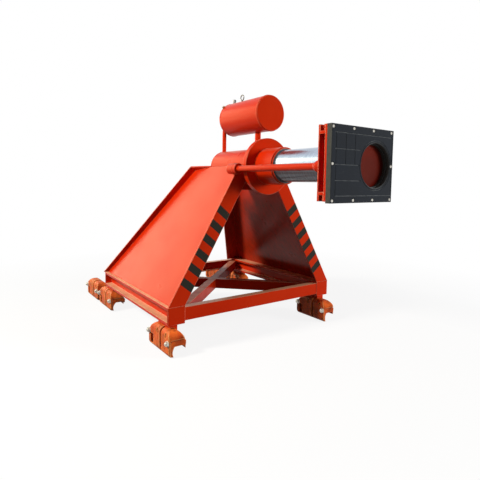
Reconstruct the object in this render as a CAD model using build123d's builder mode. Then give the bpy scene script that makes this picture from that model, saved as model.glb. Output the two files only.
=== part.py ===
from build123d import *
import math
import os

# A sliding railway buffer stop: a braced steel frame that clamps on both rails,
# a hydraulic buffer on top of it, and a rubber faced head on the plunger.
# Units are millimetres. X points at the oncoming train and Z is up. Sizes are
# drawn from the front plates, the middle of the track and the level that the
# clamp jaws reach down to. Right is the side of negative Y.

# Track
gauge = 1435
rail_head_width = 72
rail_top = 75
rail_clearance = 2

# Rail clamps
clamp_length = 350
clamp_front_reach_right = 64
clamp_front_reach_left = 118
clamp_rear_start = 1200
clamp_count_rear = 2
neck_length = 70
clamp_top = 192
clamp_outer = 95
clamp_inner = 55
clamp_shoulder = 42
jaw_tip_gap = 9
jaw_tip_width = 8
jaw_hollow = 16
jaw_round = 42
crown_edge = 14
hood_edge = 120
lip_top = 107
lip_tip = 48
lip_slant = 14
dome_length = 52
dome_edge = 140
dome_rise = 0.67
tail_length = 76
tail_edge = 108
tail_rise = 0.45
front_recess = 13
front_recess_top = 124
front_recess_side = 74
groove_setback = 131
groove_width = 18
groove_depth = 14
rib_width = 12
rib_height = 4
slot_width = 13
slot_height = 38
slot_depth = 24
slot_level = 152
slot_setback_front = 58
slot_setback_rear = 200
pocket_bottom = 26
pocket_top = 102
pocket_length = 48
pocket_edge = 30
neck_recess = 24
neck_top = 135
mouth_radius = 62
mouth_depth = 40
mouth_level = 32
hanger_length = 170
hanger_inner = 22
hanger_base = 140
hanger_setback_right = 32
hanger_setback_left = 5
bolt_radius = 11
bolt_end = 8
nut_radius = 20
nut_height = 15
nut_setback = 16
nut_level = 109
rear_nut_level = 118

# Base frame
beam_width = 136
beam_height = 132
beam_length = 1438
beam_bottom = 215
beam_flange = 20
beam_web = 10
end_plate = 12
cross_height = 100
cross_depth = 62
cross_wall = 8
cross_drop = 12
cross_setback = 2
brace_width = 70
brace_height = 88
brace_drop = 9
brace_wall = 8

# A frame sides
apex_height = 1409
web_inset = 30
web_plate = 10
flange_plate = 16
side_top = 1045
rear_corner_drop = 31
rear_top_x = 734
rear_gap = 12
rear_flange_out = 58
rear_flange_width = 200
rear_flange_plate = 12
gusset_front_x = 490

# Buffer
axis_above_beam = 1042
barrel_radius = 147
barrel_wall = 22
barrel_rear = 562
cap_thickness = 36
cap_bevel = 20
disc_radius = 223
disc_back = 60
disc_thickness = 40
collar_radius = 142
collar_length = 198
collar_lip_radius = 132
collar_lip_length = 12
plunger_radius = 120
plunger_clearance = 1.5
plunger_wall = 25
plunger_inside = 110
saddle_plate = 16
saddle_depth = 190
saddle_front_x = 80
saddle_rear_x = 470

# Guides
guide_outset = 22
guide_drop = 24
guide_radius = 24
guide_clearance = 1
sleeve_radius = 42
sleeve_front = 44
sleeve_rear = 68
guide_tail = 60
boss_radius = 38
boss_length = 32
boss_taper = 30

# Head
head_width = 584
head_height = 463
head_drop = 11
head_front_x = 1024
rubber_thickness = 37
rubber_bevel = 3
front_plate = 18
back_plate = 9
plate_height = 454
plate_side_margin = 2
channel_depth = 43
channel_height = 56
channel_web = 18
channel_flange = 8
upright_inset = 52
upright_wall = 12
hole_radius = 142
hole_y = 119
hole_rim = 4
hole_recess = 11

# Tank
tank_radius = 140
tank_wall = 8
tank_front_x = 117
tank_length = 538
tank_above_axis = 418
tank_end = 14
tank_bevel = 5
neck_radius = 24
neck_x = 46
pipe_radius = 18
pipe_y = 26
pipe_setback = 86
pipe_bend = 30
plug_x = 389
plug_radius = 14
plug_base = 12
plug_height = 24
eye_x = 274
eye_ring = 22
eye_wire = 5
eye_stem_radius = 9
eye_stem = 14
valve_radius = 12
valve_height = 13
valve_angle = 46
valve_setback = 17

# Places that follow from the sizes above
rail_spacing = gauge + rail_head_width
rail_y = rail_spacing / 2
beam_top = beam_bottom + beam_height
axis_z = beam_top + axis_above_beam
guide_above_beam = axis_above_beam - guide_drop
guide_z = beam_top + guide_above_beam
tank_z = axis_z + tank_above_axis
head_z = axis_z - head_drop
leg_foot = rail_y + beam_width / 2
lean = math.atan2(leg_foot, apex_height)
lean_cos, lean_sin, lean_tan = math.cos(lean), math.sin(lean), math.tan(lean)
guide_y = leg_foot - guide_above_beam * lean_tan + guide_outset
head_back_x = head_front_x - rubber_thickness - front_plate - channel_depth - back_plate
plate_z = head_z + (head_height - plate_height) / 2
clamp_pitch = clamp_length + neck_length
clamp_rear_end = clamp_rear_start + clamp_pitch * clamp_count_rear
nut_reach = nut_height + bolt_end

# Move from the front plates and the middle of the track to the middle of the footprint
footprint = Location(((clamp_rear_end - head_front_x) / 2,
                      (rail_y + clamp_outer + nut_reach - leg_foot) / 2, 0))

os.makedirs("parts", exist_ok=True)


def keep(piece, name):
    """Places a finished piece over the middle of the footprint and writes it."""
    placed = piece.part.moved(footprint)
    placed.label = name
    export_step(placed, f"parts/{name}.step")


def mirrored(piece):
    with BuildPart() as other:
        mirror(piece.part, about=Plane.XZ)
    return other


def both_sides(piece):
    """The piece and its mirror image as two solids in one node."""
    with BuildPart() as pair:
        add(piece.part)
        mirror(piece.part, about=Plane.XZ)
    return pair


def facing_train(x, y=0, z=0):
    """A plane across the track whose normal points at the train."""
    return Plane(origin=(x, y, z), x_dir=(0, 1, 0), z_dir=(1, 0, 0))


def tube(x_from, x_to, outer, inner=0, y=0, z=axis_z):
    """A round bar or tube along X."""
    with BuildPart() as made:
        with BuildSketch(facing_train(x_from, y, z)):
            Circle(outer)
            if inner:
                Circle(inner, mode=Mode.SUBTRACT)
        extrude(amount=x_to - x_from)
    return made


# Side beams: H sections that lie over the rails, closed by plates at both ends
with BuildPart() as side_beam_right:
    with BuildSketch(Plane(origin=(0, -rail_y, beam_bottom + beam_height / 2), x_dir=(0, 1, 0),
                           z_dir=(-1, 0, 0))):
        Rectangle(beam_width, beam_height)
        with Locations(((beam_width + beam_web) / 4, 0), (-(beam_width + beam_web) / 4, 0)):
            Rectangle((beam_width - beam_web) / 2, beam_height - 2 * beam_flange, mode=Mode.SUBTRACT)
    extrude(amount=beam_length)
    with Locations((-end_plate / 2, -rail_y, beam_bottom + beam_height / 2),
                   (end_plate / 2 - beam_length, -rail_y, beam_bottom + beam_height / 2)):
        Box(end_plate, beam_width, beam_height)
keep(side_beam_right, "side_beam_right")
keep(mirrored(side_beam_right), "side_beam_left")

# Cross beams: channels between the side beams at the front and the rear
cross_span = rail_spacing - beam_width
cross_top = beam_top - cross_drop
for name, x, opening in (("front_cross_beam", -cross_setback - cross_depth / 2, -1),
                         ("rear_cross_beam", cross_setback + cross_depth / 2 - beam_length, 1)):
    with BuildPart() as cross_beam:
        with BuildSketch(Plane(origin=(x, cross_span / 2, cross_top - cross_height / 2), x_dir=(1, 0, 0),
                               z_dir=(0, -1, 0))):
            Rectangle(cross_depth, cross_height)
            with Locations((opening * cross_wall / 2, 0)):
                Rectangle(cross_depth - cross_wall, cross_height - 2 * cross_wall, mode=Mode.SUBTRACT)
        extrude(amount=cross_span)
    keep(cross_beam, name)

# Diagonal braces: channels with their backs up. One runs through, the other is in
# two pieces that butt on it
room_length = beam_length - 2 * (cross_setback + cross_depth)
brace_angle = math.degrees(math.atan2(cross_span, room_length))
brace_reach = math.hypot(cross_span, room_length)
room_floor = Plane(origin=(-beam_length / 2, 0, cross_top - brace_drop - brace_height), z_dir=(0, 0, 1))
brace_inner_width = brace_width - 2 * brace_wall
with BuildPart() as brace_through:
    with BuildSketch(room_floor):
        Rectangle(brace_reach, brace_width, rotation=brace_angle)
        Rectangle(room_length, cross_span, mode=Mode.INTERSECT)
    extrude(amount=brace_height)
    with BuildSketch(room_floor):
        Rectangle(brace_reach, brace_inner_width, rotation=brace_angle)
    extrude(amount=brace_height - brace_wall, mode=Mode.SUBTRACT)
keep(brace_through, "brace_through")
with BuildPart() as brace_halves:
    with BuildSketch(room_floor):
        Rectangle(brace_reach, brace_width, rotation=-brace_angle)
        Rectangle(room_length, cross_span, mode=Mode.INTERSECT)
        Rectangle(brace_reach, brace_width, rotation=brace_angle, mode=Mode.SUBTRACT)
    extrude(amount=brace_height)
    with BuildSketch(room_floor):
        Rectangle(brace_reach, brace_inner_width, rotation=-brace_angle)
    extrude(amount=brace_height - brace_wall, mode=Mode.SUBTRACT)
keep(brace_halves, "brace_halves")

# Side panels: plates that lean in to the buffer and stop at the rear flange
slope_top = side_top / lean_cos
slope_corner = (side_top - rear_corner_drop) / lean_cos
rear_foot_x = beam_length - rear_gap
panel_foot = web_inset * lean_sin
web_up = Vector(0, lean_sin, lean_cos)
web_out = Vector(0, -lean_cos, lean_sin)
web_origin = Vector(0, web_inset - leg_foot, beam_top)
web_plane = Plane(origin=web_origin, x_dir=(1, 0, 0), z_dir=web_out)
barrel_room = tube(-beam_length, 0, barrel_radius)


def rear_edge_x(slope):
    """How far back the panel's rear edge is at a height measured up the slope."""
    return rear_foot_x + (rear_top_x - rear_foot_x) * slope / slope_corner


with BuildPart() as side_panel_right:
    with BuildSketch(web_plane):
        with BuildLine():
            Polyline(
                (-flange_plate, -panel_foot),
                (-flange_plate, slope_top),
                (-gusset_front_x, slope_top),
                (-rear_edge_x(slope_corner), slope_corner),
                (-rear_edge_x(-panel_foot), -panel_foot),
                close=True,
            )
        make_face()
    extrude(amount=-web_plate)
    split(bisect_by=Plane.XY.offset(beam_top), keep=Keep.TOP)
    with BuildSketch(facing_train(-sleeve_rear, -guide_y, guide_z)):
        Circle(sleeve_radius)
    extrude(amount=sleeve_rear, mode=Mode.SUBTRACT)
    add(barrel_room.part, mode=Mode.SUBTRACT)
keep(side_panel_right, "side_panel_right")
keep(mirrored(side_panel_right), "side_panel_left")

# Front flanges: the striped legs of the A, in the front plane
with BuildPart() as front_flange_right:
    with BuildSketch(facing_train(0, 0, beam_top)):
        with BuildLine():
            flange_top_y = leg_foot - side_top * lean_tan
            Polyline(
                (-leg_foot, 0),
                (beam_width - leg_foot, 0),
                (beam_width - flange_top_y, side_top),
                (-flange_top_y, side_top),
                close=True,
            )
        make_face()
        with Locations((0, axis_above_beam)):
            Circle(barrel_radius, mode=Mode.SUBTRACT)
        with Locations((-guide_y, guide_above_beam)):
            Circle(sleeve_radius, mode=Mode.SUBTRACT)
    extrude(amount=-flange_plate)
keep(front_flange_right, "front_flange_right")
keep(mirrored(front_flange_right), "front_flange_left")


def edge_point(x, slope):
    """A point on the outer surface of the right panel, by how far back and how far up the slope it is."""
    return web_origin + web_up * slope - Vector(x, 0, 0)


# Rear flanges: plates square to the panel along its sloping rear edge, reaching in past the beam
with BuildPart() as rear_flange_right:
    low_slope = -2 * panel_foot
    low_point = edge_point(rear_edge_x(low_slope), low_slope)
    run = edge_point(rear_edge_x(slope_corner), slope_corner) - low_point
    foot_out = web_inset / lean_cos
    with BuildSketch(Plane(origin=low_point, x_dir=run, z_dir=web_out.cross(run))):
        with BuildLine():
            Polyline((0, rear_flange_width - foot_out), (0, -foot_out), (run.length, -rear_flange_out),
                     (run.length, rear_flange_width - rear_flange_out), close=True)
        make_face()
    extrude(amount=rear_flange_plate)
    split(bisect_by=Plane.XY.offset(beam_top), keep=Keep.TOP)
    add(barrel_room.part, mode=Mode.SUBTRACT)
keep(rear_flange_right, "rear_flange_right")
keep(mirrored(rear_flange_right), "rear_flange_left")

# Top gussets: tapering plates on the panels' top edge, square to the panel
with BuildPart() as top_gusset_right:
    rear_point = edge_point(rear_edge_x(slope_corner), slope_corner)
    run = edge_point(gusset_front_x, slope_top) - rear_point
    with BuildSketch(Plane(origin=rear_point, x_dir=run, z_dir=run.cross(web_out))):
        with BuildLine():
            Polyline((0, -web_plate), (0, rear_flange_out), (run.length, 0), (run.length, -web_plate),
                     close=True)
        make_face()
    extrude(amount=-rear_flange_plate)
    add(barrel_room.part, mode=Mode.SUBTRACT)
keep(both_sides(top_gusset_right), "top_gussets")

# Buffer cylinder: barrel, rear cap, mounting disc and the gland collar in front
keep(tube(cap_thickness - barrel_rear, disc_back, barrel_radius, barrel_radius - barrel_wall), "barrel")
with BuildPart() as barrel_cap:
    with BuildSketch(facing_train(-barrel_rear, 0, axis_z)):
        Circle(barrel_radius)
    extrude(amount=cap_thickness)
    chamfer(barrel_cap.edges().filter_by(GeomType.CIRCLE).sort_by(Axis.X)[0], length=cap_bevel)
keep(barrel_cap, "barrel_cap")
gland_bore = plunger_radius + plunger_clearance
disc_front = disc_back + disc_thickness
keep(tube(disc_back, disc_front, disc_radius, gland_bore), "mounting_disc")
with BuildPart() as gland_collar:
    add(tube(disc_front, disc_front + collar_length, collar_radius, gland_bore).part)
    add(tube(disc_front + collar_length, disc_front + collar_length + collar_lip_length, collar_lip_radius,
             gland_bore).part)
keep(gland_collar, "gland_collar")

# Saddles: cross plates between the side panels that carry the barrel
with BuildPart() as barrel_saddles:
    inner_foot = leg_foot - web_inset - web_plate / lean_cos
    low = axis_above_beam - saddle_depth
    low_y = inner_foot - low * lean_tan
    high_y = inner_foot - axis_above_beam * lean_tan
    for x in (saddle_front_x, saddle_rear_x):
        with BuildSketch(Plane(origin=(-x, 0, beam_top), x_dir=(0, -1, 0), z_dir=(-1, 0, 0))):
            with BuildLine():
                Polyline((-low_y, low), (low_y, low), (high_y, axis_above_beam),
                         (-high_y, axis_above_beam), close=True)
            make_face()
            with Locations((0, axis_above_beam)):
                Circle(barrel_radius, mode=Mode.SUBTRACT)
            with Locations((-guide_y, guide_above_beam), (guide_y, guide_above_beam)):
                Circle(sleeve_radius, mode=Mode.SUBTRACT)
        extrude(amount=saddle_plate)
keep(barrel_saddles, "barrel_saddles")

# Guide sleeves on the outer side of the legs
for name, y in (("guide_sleeve_right", -guide_y), ("guide_sleeve_left", guide_y)):
    keep(tube(-sleeve_rear, sleeve_front, sleeve_radius, guide_radius + guide_clearance, y, guide_z), name)

# Tank: a shell with two flat ends above the barrel
tank_rear_x = tank_front_x - tank_length
tank_room = tube(tank_rear_x, tank_front_x, tank_radius, z=tank_z)
keep(tube(tank_rear_x + tank_end, tank_front_x - tank_end, tank_radius, tank_radius - tank_wall, z=tank_z),
     "tank_shell")
for name, x, outer_end in (("tank_front_end", tank_front_x - tank_end, -1),
                           ("tank_rear_end", tank_rear_x, 0)):
    with BuildPart() as end:
        with BuildSketch(facing_train(x, 0, tank_z)):
            Circle(tank_radius)
        extrude(amount=tank_end)
        chamfer(end.edges().filter_by(GeomType.CIRCLE).sort_by(Axis.X)[outer_end], length=tank_bevel)
    keep(end, name)

# Front neck: a short pipe from the tank's belly to the barrel
with BuildPart() as tank_neck:
    with BuildSketch(Plane(origin=(-neck_x, 0, axis_z), z_dir=(0, 0, 1))):
        Circle(neck_radius)
    extrude(amount=tank_above_axis)
    add(barrel_room.part, mode=Mode.SUBTRACT)
    add(tank_room.part, mode=Mode.SUBTRACT)
keep(tank_neck, "tank_neck")

# Rear pipe: out of the tank's rear end, round a bend and down on the barrel
with BuildPart() as tank_pipe:
    pipe_top = tank_z - tank_radius / 2
    bend_x = tank_rear_x - pipe_setback + pipe_bend
    bend_z = pipe_top - pipe_bend
    with BuildSketch(Plane(origin=(tank_rear_x, -pipe_y, pipe_top), z_dir=(-1, 0, 0))):
        Circle(pipe_radius)
    extrude(amount=pipe_setback - pipe_bend)
    with BuildSketch(Plane(origin=(bend_x, -pipe_y, pipe_top), z_dir=(-1, 0, 0))):
        Circle(pipe_radius)
    revolve(axis=Axis((bend_x, -pipe_y, bend_z), (0, -1, 0)), revolution_arc=90)
    with BuildSketch(Plane(origin=(bend_x - pipe_bend, -pipe_y, bend_z), z_dir=(0, 0, -1))):
        Circle(pipe_radius)
    extrude(amount=bend_z - axis_z)
    add(barrel_room.part, mode=Mode.SUBTRACT)
keep(tank_pipe, "tank_pipe")

# Filler plug and lifting eye on top of the tank, and a small valve at its rear end
tank_top = tank_z + tank_radius
with BuildPart() as filler_plug:
    with BuildSketch(Plane(origin=(-plug_x, 0, tank_top - plug_base), z_dir=(0, 0, 1))):
        RegularPolygon(plug_radius + 2, 6)
    extrude(amount=2 * plug_base)
    with BuildSketch(Plane(origin=(-plug_x, 0, tank_top + plug_base), z_dir=(0, 0, 1))):
        Circle(plug_radius)
    extrude(amount=plug_height)
    add(tank_room.part, mode=Mode.SUBTRACT)
keep(filler_plug, "filler_plug")
with BuildPart() as lifting_eye:
    with BuildSketch(Plane(origin=(-eye_x, 0, tank_top - eye_stem), z_dir=(0, 0, 1))):
        Circle(eye_stem_radius)
    extrude(amount=2 * eye_stem)
    with BuildSketch(Plane(origin=(-eye_x, 0, tank_top + eye_stem + eye_ring), z_dir=(0, -1, 0))):
        Circle(eye_ring + eye_wire)
        Circle(eye_ring - eye_wire, mode=Mode.SUBTRACT)
    extrude(amount=eye_wire, both=True)
    add(tank_room.part, mode=Mode.SUBTRACT)
keep(lifting_eye, "lifting_eye")
with BuildPart() as tank_valve:
    tilt = math.radians(valve_angle)
    with BuildSketch(Plane(origin=(tank_rear_x + valve_setback, 0, tank_z), x_dir=(1, 0, 0),
                           z_dir=(0, -math.sin(tilt), math.cos(tilt)))):
        Circle(valve_radius)
    extrude(amount=tank_radius + valve_height)
    add(tank_room.part, mode=Mode.SUBTRACT)
keep(tank_valve, "tank_valve")

# Rail clamps: castings that straddle the rail head, with a deep jaw on the right
# side and a short lip on the left. Both rails have the same casting.
half_channel = rail_head_width / 2 + rail_clearance
jaw_tip = -half_channel - jaw_tip_gap


def outer_surface(inset, low, far):
    """Closes an outline along the casting's outer side, its shoulder and its crown, this far inside them."""
    with BuildLine() as outline:
        side = Line((inset - clamp_outer, low), (inset - clamp_outer, clamp_top - clamp_shoulder))
        turn = RadiusArc(side @ 1, (clamp_shoulder - clamp_outer, clamp_top - inset), clamp_shoulder - inset)
        Polyline(turn @ 1, (far, clamp_top - inset), (far, low), side @ 0)
    return outline.line


def clamp_casting(x, y, neck):
    """A clamp whose front end is at x on the rail at y. A rear clamp has a neck that reaches the next one."""
    side_view = Plane(origin=(x, y, 0), x_dir=(-1, 0, 0), z_dir=(0, 1, 0))
    outer_face = side_view.offset(-clamp_outer - 2 * rib_height)
    with BuildPart() as casting:
        with BuildSketch(facing_train(x, y)):
            with BuildLine():
                jaw_inside = ThreePointArc((-half_channel, rail_top),
                                           (-half_channel - jaw_hollow, rail_top / 2), (jaw_tip, 0))
                jaw_end = Line(jaw_inside @ 1, (jaw_tip - jaw_tip_width, 0))
                jaw_bottom = ThreePointArc(jaw_end @ 1, (jaw_round / 4 - clamp_outer, jaw_round / 3),
                                           (-clamp_outer, jaw_round))
                side = Line(jaw_bottom @ 1, (-clamp_outer, clamp_top - clamp_shoulder))
                shoulder = RadiusArc(side @ 1, (clamp_shoulder - clamp_outer, clamp_top), clamp_shoulder)
                crown = Line(shoulder @ 1, (-crown_edge, clamp_top))
                hood = ThreePointArc(crown @ 1, (clamp_inner / 4, (2 * clamp_top + hood_edge) / 3),
                                     (clamp_inner - lip_slant, hood_edge))
                Polyline(
                    hood @ 1,
                    (clamp_inner, lip_top),
                    (clamp_inner - lip_slant / 2, lip_tip),
                    (half_channel, lip_tip + lip_slant),
                    (half_channel, rail_top),
                    (-half_channel, rail_top),
                )
            make_face()
        extrude(amount=-clamp_length)
        # Rib round the outer side, just behind the groove
        with BuildSketch(facing_train(x - groove_setback - groove_width, y)):
            make_face(outer_surface(-rib_height, jaw_round, -crown_edge))
            make_face(outer_surface(groove_depth, -clamp_top, clamp_outer), mode=Mode.SUBTRACT)
        extrude(amount=-rib_width)
        # Domed front end and sloping rear end
        with BuildSketch(side_view):
            for end, step, length, edge, rise in ((0, 1, dome_length, dome_edge, dome_rise),
                                                  (clamp_length, -1, tail_length, tail_edge, tail_rise)):
                with BuildLine():
                    dome = ThreePointArc((end, edge),
                                         (end + step * length / 3, edge + rise * (clamp_top - edge)),
                                         (end + step * length, clamp_top))
                    Polyline(dome @ 1, (end + step * length, 2 * clamp_top), (end - step, 2 * clamp_top),
                             (end - step, edge), dome @ 0)
                make_face()
        extrude(amount=2 * clamp_outer, both=True, mode=Mode.SUBTRACT)
        # Groove between the two halves, over the outer side and the crown
        with BuildSketch(facing_train(x - groove_setback, y)):
            make_face(outer_surface(-2 * rib_height, -clamp_top, -crown_edge))
            make_face(outer_surface(groove_depth, -2 * clamp_top, clamp_outer), mode=Mode.SUBTRACT)
        extrude(amount=-groove_width, mode=Mode.SUBTRACT)
        # Upright slots in both halves, and a pocket with an edge round it at the rear end
        with BuildSketch(outer_face):
            with Locations((slot_setback_front, slot_level), (slot_setback_rear, slot_level)):
                SlotOverall(slot_height, slot_width, rotation=90)
            with Locations((clamp_length - pocket_edge - pocket_length / 2,
                            (pocket_bottom + pocket_top) / 2)):
                Rectangle(pocket_length, pocket_top - pocket_bottom)
        extrude(amount=2 * rib_height + slot_depth, mode=Mode.SUBTRACT)
        # The front face is set back under the hood
        with BuildSketch(facing_train(x, y)):
            with Locations((-front_recess_side, 0)):
                Rectangle(2 * clamp_outer, front_recess_top, align=(Align.MIN, Align.MIN))
        extrude(amount=-front_recess, mode=Mode.SUBTRACT)
        if neck:
            with BuildSketch(facing_train(x - clamp_length, y)):
                with Locations(((clamp_inner - clamp_outer + neck_recess) / 2, (rail_top + neck_top) / 2)):
                    Rectangle(clamp_inner + clamp_outer - neck_recess, neck_top - rail_top)
            extrude(amount=-neck)
            with BuildSketch(facing_train(x, y)):
                with Locations((0, mouth_level)):
                    Circle(mouth_radius)
                with Locations((0, mouth_level / 2)):
                    Rectangle(4 * clamp_outer, mouth_level)
            extrude(amount=-mouth_depth, mode=Mode.SUBTRACT)
    return casting


clamps = [("front_right", clamp_front_reach_right, -rail_y, 0),
          ("front_left", clamp_front_reach_left, rail_y, 0)]
for i in range(clamp_count_rear):
    start = -clamp_rear_start - i * clamp_pitch
    clamps.append((f"rear_{i + 1}_right", start, -rail_y, neck_length))
    clamps.append((f"rear_{i + 1}_left", start, rail_y, neck_length))
castings = [clamp_casting(x, y, neck) for name, x, y, neck in clamps]
for (name, x, y, neck), casting in zip(clamps, castings):
    keep(casting, f"rail_clamp_{name}")

# Hangers: blocks that sit on the castings' crowns and hang them under the beams
with BuildPart() as clamp_hangers:
    for x, y in ((-hanger_setback_right, -rail_y), (-hanger_setback_left, rail_y),
                 (-clamp_rear_start - dome_length, -rail_y), (-clamp_rear_start - dome_length, rail_y)):
        with Locations((x - hanger_length / 2, y - clamp_outer + clamp_shoulder, hanger_base)):
            Box(hanger_length, clamp_outer - clamp_shoulder + hanger_inner, beam_bottom - hanger_base,
                align=(Align.CENTER, Align.MIN, Align.MIN))
    for casting in castings:
        add(casting.part, mode=Mode.SUBTRACT)
keep(clamp_hangers, "clamp_hangers")

# Clamp bolts: nuts with the bolt's end showing, on the right side of each clamp
with BuildPart() as clamp_bolts:
    for name, x, y, neck in clamps:
        for back, level in ((nut_setback, nut_level), (clamp_length - nut_setback, rear_nut_level)):
            face = Plane(origin=(x - back, y - clamp_outer, level), x_dir=(1, 0, 0), z_dir=(0, -1, 0))
            with BuildSketch(face):
                RegularPolygon(nut_radius, 6)
            extrude(amount=nut_height)
            with BuildSketch(face):
                Circle(bolt_radius)
            extrude(amount=nut_height + bolt_end)
keep(clamp_bolts, "clamp_bolts")

# Plunger and guide rods, which carry the head
keep(tube(disc_back - plunger_inside, head_back_x, plunger_radius, plunger_radius - plunger_wall), "plunger")
for name, y in (("guide_rod_right", -guide_y), ("guide_rod_left", guide_y)):
    with BuildPart() as guide_rod:
        add(tube(-guide_tail, head_back_x, guide_radius, y=y, z=guide_z).part)
        add(tube(head_back_x - boss_length, head_back_x, boss_radius, y=y, z=guide_z).part)
        with BuildSketch(facing_train(head_back_x - boss_length, y, guide_z)):
            Circle(boss_radius)
        with BuildSketch(facing_train(head_back_x - boss_length - boss_taper, y, guide_z)):
            Circle(guide_radius)
        loft()
    keep(guide_rod, name)

# Head: back plate, channels and uprights, front plate and the rubber face
plate_width = head_width - 2 * plate_side_margin
channel_start = head_back_x + back_plate
with BuildPart() as head_back_plate:
    with BuildSketch(facing_train(head_back_x, 0, plate_z)):
        Rectangle(plate_width, plate_height)
    extrude(amount=back_plate)
keep(head_back_plate, "head_back_plate")
with BuildPart() as head_front_plate:
    with BuildSketch(facing_train(channel_start + channel_depth, 0, plate_z)):
        Rectangle(plate_width, plate_height)
    extrude(amount=front_plate)
    with BuildSketch(facing_train(head_front_x - rubber_thickness, hole_y, head_z)):
        Circle(hole_radius - hole_rim)
    extrude(amount=-hole_recess, mode=Mode.SUBTRACT)
keep(head_front_plate, "head_front_plate")
with BuildPart() as head_channels:
    channel_middle = (plate_height - channel_height) / 2
    with BuildSketch(Plane(origin=(channel_start + channel_depth / 2, plate_width / 2, plate_z),
                           x_dir=(1, 0, 0), z_dir=(0, -1, 0))):
        for up in (1, -1):
            with Locations((0, up * channel_middle)):
                Rectangle(channel_depth, channel_height)
            with Locations((0, up * (channel_middle + channel_web / 2))):
                Rectangle(channel_depth - 2 * channel_flange, channel_height - channel_web,
                          mode=Mode.SUBTRACT)
    extrude(amount=plate_width)
keep(head_channels, "head_channels")
with BuildPart() as head_uprights:
    with BuildSketch(facing_train(channel_start, 0, plate_z)):
        with GridLocations(plate_width - 2 * upright_inset, 0, 2, 1):
            Rectangle(upright_wall, plate_height - 2 * channel_height)
    extrude(amount=channel_depth)
keep(head_uprights, "head_uprights")
with BuildPart() as rubber_face:
    with BuildSketch(Plane(origin=(head_front_x, 0, head_z), x_dir=(0, 1, 0), z_dir=(-1, 0, 0))):
        Rectangle(head_width, head_height)
        with Locations((hole_y, 0)):
            Circle(hole_radius, mode=Mode.SUBTRACT)
    extrude(amount=rubber_thickness)
    chamfer(rubber_face.faces().sort_by(Axis.X)[-1].outer_wire().edges(), length=rubber_bevel)
keep(rubber_face, "rubber_face")
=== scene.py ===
"""Dresses the solids of a sliding railway buffer stop: its paint, small parts, light, floor and camera.

Lengths are in metres. X points at the oncoming train, Y to the left of the stop and Z up.
"""
import math

import bmesh
import bpy
from mathutils import Matrix, Vector


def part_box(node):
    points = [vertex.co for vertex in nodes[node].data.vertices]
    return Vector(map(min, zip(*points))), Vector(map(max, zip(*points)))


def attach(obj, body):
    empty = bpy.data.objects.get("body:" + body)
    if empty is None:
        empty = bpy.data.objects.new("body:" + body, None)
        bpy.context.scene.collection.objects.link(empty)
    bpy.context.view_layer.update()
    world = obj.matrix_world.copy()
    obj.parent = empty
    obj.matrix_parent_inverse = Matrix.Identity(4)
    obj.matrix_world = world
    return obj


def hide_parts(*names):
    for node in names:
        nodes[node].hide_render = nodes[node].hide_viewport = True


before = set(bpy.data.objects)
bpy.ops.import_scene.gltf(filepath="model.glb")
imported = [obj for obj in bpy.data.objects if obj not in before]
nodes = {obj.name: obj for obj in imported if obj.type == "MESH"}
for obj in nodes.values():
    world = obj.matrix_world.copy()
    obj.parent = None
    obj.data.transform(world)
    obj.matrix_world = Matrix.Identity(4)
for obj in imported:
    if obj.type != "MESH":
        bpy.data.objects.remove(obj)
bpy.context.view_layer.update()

X, Y, Z = (Vector(axis) for axis in ((1, 0, 0), (0, 1, 0), (0, 0, 1)))

# Camera: at the photograph's angle, low and off the front right corner
CAMERA_PLACE = Vector((3.1915, -2.0817, 1.2664))
CAMERA_YAW = math.radians(54.6176)
CAMERA_PITCH = math.radians(4.1836)
CAMERA_ROLL = math.radians(0.8521)
SENSOR_MM = 36
LENS_MM = 31.209
SHIFT_Y = -0.0583

# Places that the dressing shares with the solids
TRACK_Y = sum(corner.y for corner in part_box("plunger")) / 2
FRONT_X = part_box("front_flange_right")[1].x
BEAM_BOTTOM, BEAM_TOP = (corner.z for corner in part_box("side_beam_right"))
BUFFER_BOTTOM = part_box("mounting_disc")[0].z
FACE_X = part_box("rubber_face")[1].x
POCKET_RADIUS, POCKET_OUT = 0.142, 0.119
POCKET_MIDDLE = sum(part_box("rubber_face"), Vector()) / 2 + POCKET_OUT * Y

# Colours of the paint, of what lies on it, and of the painted light and shade on it
RED, RED_SHADE = (0.64, 0.028, 0.0025), (0.6, 0.02, 0.002)
# Darker red of the braces: painted shade, for the frame's shadow over them
SHADE_DARKENED_BRACE_RED, SHADE_DARKENED_BRACE_TONE = (0.46, 0.02, 0.002), (0.38, 0.015, 0.0018)
# Paler red of the weld beads: painted highlight along the seams
WELD_HIGHLIGHT_RED, WELD_HIGHLIGHT_TONE = (0.82, 0.17, 0.09), (0.74, 0.1, 0.05)
WARM_GLOSS = (1.0, 0.74, 0.42, 1)
# Pale on upward faces: partly dust, partly a painted sheen of the sky
DUST_AND_SHEEN = (0.5, 0.33, 0.24)
# Pale tan on upward faces below the beams' top: partly sand, partly painted sunlight on the lit tops
SAND_AND_SUNLIGHT = (0.84, 0.48, 0.27)
# Dark brown on downward faces below the buffer: painted shade, streaked
UNDERSIDE_PAINTED_SHADE = (0.1, 0.02, 0.008)
# Near black inside the rubber's pocket: painted shade in the recess
POCKET_PAINTED_SHADE = (0.05, 0.002, 0.001)
# Pale on the edges: partly worn paint, partly a painted highlight along them
RUBBED_EDGE_AND_HIGHLIGHT = (0.85, 0.36, 0.22)
CHIP = (0.16, 0.06, 0.04)
CAST_ORANGE, CAST_SHADE = (0.82, 0.16, 0.024), (0.66, 0.075, 0.012)
# Near black in the castings' hollows: painted shade in the creases
CAST_HOLLOW_PAINTED_SHADE = (0.06, 0.012, 0.005)
CAST_GRIME = (0.14, 0.035, 0.012)
CAST_EDGE = (0.8, 0.3, 0.1)

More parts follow.
